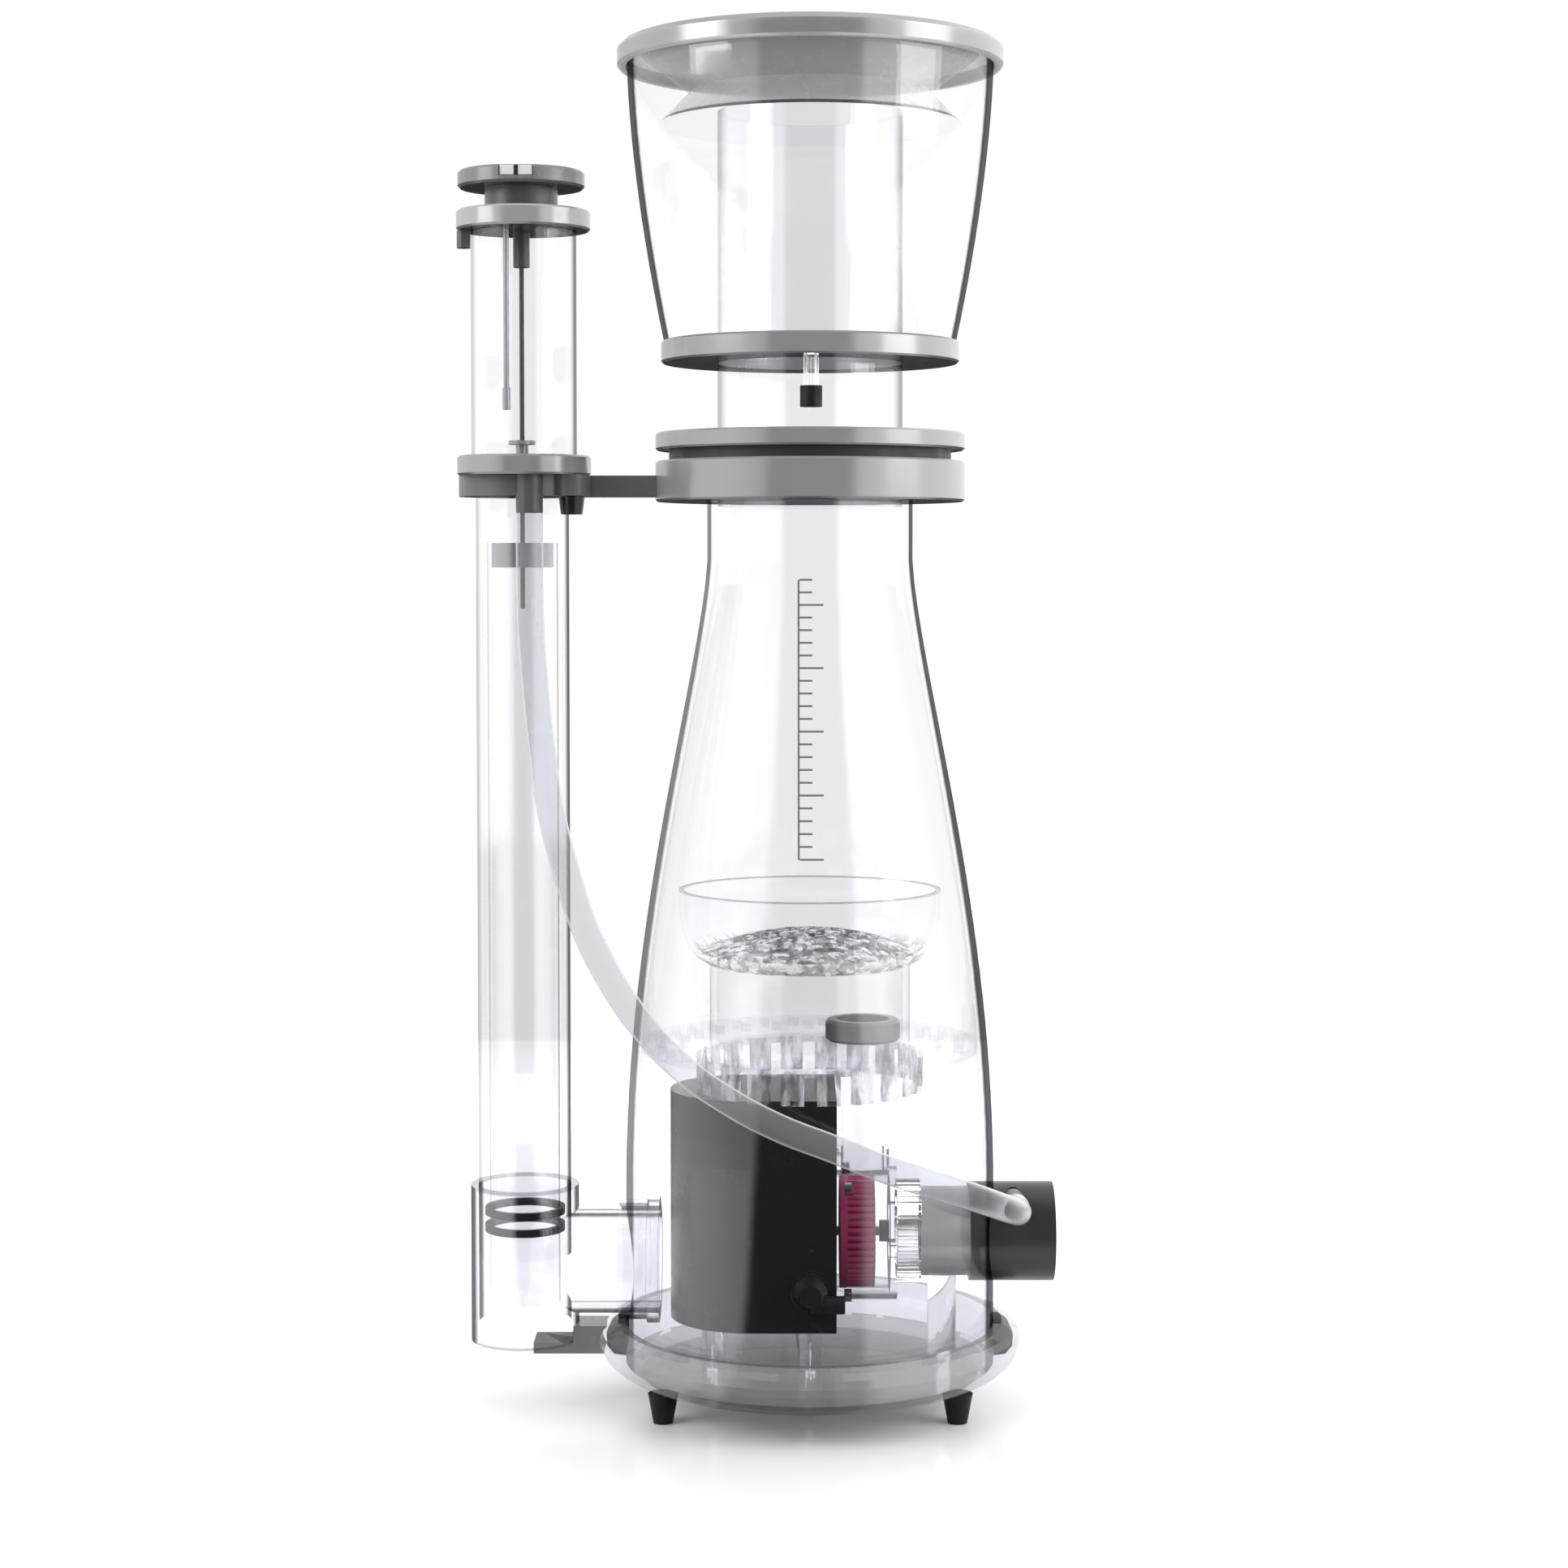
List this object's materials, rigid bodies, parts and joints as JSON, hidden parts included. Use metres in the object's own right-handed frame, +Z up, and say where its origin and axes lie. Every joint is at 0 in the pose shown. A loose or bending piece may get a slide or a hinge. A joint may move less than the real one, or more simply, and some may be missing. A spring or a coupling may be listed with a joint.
{
  "type": "protein skimmer",
  "caption": "Cone-bodied clear acrylic protein skimmer with collection cup, lid, in-body needle-wheel pump and side standpipe with level knob and air silencer.",
  "frame": {"origin": "on the floor, under the middle of the whole object's box", "axes": "+Z up; +X towards the pump inlet; -Y is the front; the standpipe is on the -X side"},
  "size_m": [0.2454, 0.1787, 0.56],
  "materials": {
    "clear_acrylic": "polished clear acrylic",
    "smoked_acrylic": "smoke grey transparent acrylic",
    "frosted_plastic": "frosted translucent grey",
    "light_grey_plastic": "satin light grey",
    "dark_grey_plastic": "satin dark grey",
    "spindle_plastic": "smooth dark rod",
    "motor_housing": "satin charcoal potting shell",
    "black_plastic": "satin black",
    "black_rubber": "soft black rubber",
    "dark_rubber": "dark grey rubber",
    "magenta_plastic": "glossy magenta",
    "coated_magnet": "epoxy coated magnet",
    "stainless_steel": "fine brushed stainless",
    "bush_plastic": "black polished bush",
    "clear_silicone": "clear silicone",
    "silicone_hose": "milky translucent silicone"
  },
  "bodies": {
    "main": {"body_shell": "clear_acrylic", "standpipe": "clear_acrylic", "silencer_tube": "clear_acrylic", "outlet_tee": "clear_acrylic", "outlet_nut": "clear_acrylic", "volute": "clear_acrylic", "union_nut": "clear_acrylic", "discharge_tube": "clear_acrylic", "bubble_plate": "clear_acrylic", "diffuser_tube": "clear_acrylic", "diffuser_bowl": "clear_acrylic", "pump_posts": "clear_acrylic", "collar_ring": "light_grey_plastic", "silencer_floor": "light_grey_plastic", "silencer_cap": "light_grey_plastic", "intake_tube": "light_grey_plastic", "silencer_dip_tube": "light_grey_plastic", "collar_arm": "dark_grey_plastic", "air_nozzle": "dark_grey_plastic", "air_inlet": "dark_grey_plastic", "intake_housing": "dark_grey_plastic", "hose_barb": "dark_grey_plastic", "coupling_ring": "dark_grey_plastic", "base_dish": "smoked_acrylic", "tee_foot": "smoked_acrylic", "motor_block": "motor_housing", "cable_gland": "black_plastic", "feet": "black_rubber", "outlet_grommet": "clear_silicone", "base_lugs": "black_plastic", "pump_screws": "stainless_steel", "shaft_bushes": "bush_plastic", "air_hose": "silicone_hose"},
    "cup": {"cup_flange": "light_grey_plastic", "cup_seal": "dark_rubber", "cup_neck": "clear_acrylic", "cup_floor": "light_grey_plastic", "cup_wall": "clear_acrylic", "drain_nozzle": "clear_acrylic"},
    "lid": {"lid": "light_grey_plastic", "lid_deflector": "frosted_plastic"},
    "drain_plug": {"drain_plug": "black_rubber"},
    "gate": {"gate_pipe": "clear_acrylic", "gate_o_rings": "black_rubber", "gate_guide": "light_grey_plastic"},
    "knob": {"spindle": "spindle_plastic", "knob_hub": "dark_grey_plastic", "knob_disc": "light_grey_plastic"},
    "air_screw": {"air_screw": "black_plastic"},
    "rotor": {"rotor_magnet": "coated_magnet", "pump_shaft": "stainless_steel", "needle_wheel": "magenta_plastic"}
  },
  "joints": [
    {"name": "cup_lift", "type": "slide", "parent": "main", "child": "cup", "axis": [0, 0, 1], "range_m": [0, 0.06]},
    {"name": "lid_lift", "type": "slide", "parent": "cup", "child": "lid", "axis": [0, 0, 1], "range_m": [0, 0.06]},
    {"name": "plug_pull", "type": "slide", "parent": "cup", "child": "drain_plug", "axis": [0, 0, -1], "range_m": [0, 0.0075]},
    {"name": "knob_turn", "type": "hinge", "parent": "main", "child": "knob", "pos_m": [-0.09675, 0, 0.5], "axis": [0, 0, 1], "range_deg": [-1440, 720]},
    {"name": "gate_slide", "type": "slide", "parent": "main", "child": "gate", "axis": [0, 0, 1], "range_m": [-0.008, 0.016]},
    {"name": "air_screw_turn", "type": "hinge", "parent": "main", "child": "air_screw", "pos_m": [-0.07525, -0.017, 0.372], "axis": [0, 0, 1], "range_deg": [0, 720]},
    {"name": "rotor_spin", "type": "hinge", "parent": "main", "child": "rotor", "pos_m": [0, 0, 0.071], "axis": [1, 0, 0], "continuous": true}
  ],
  "couplings": [
    {"joint": "gate_slide", "follows": "knob_turn", "m_per_rad": -0.00063662}
  ]
}
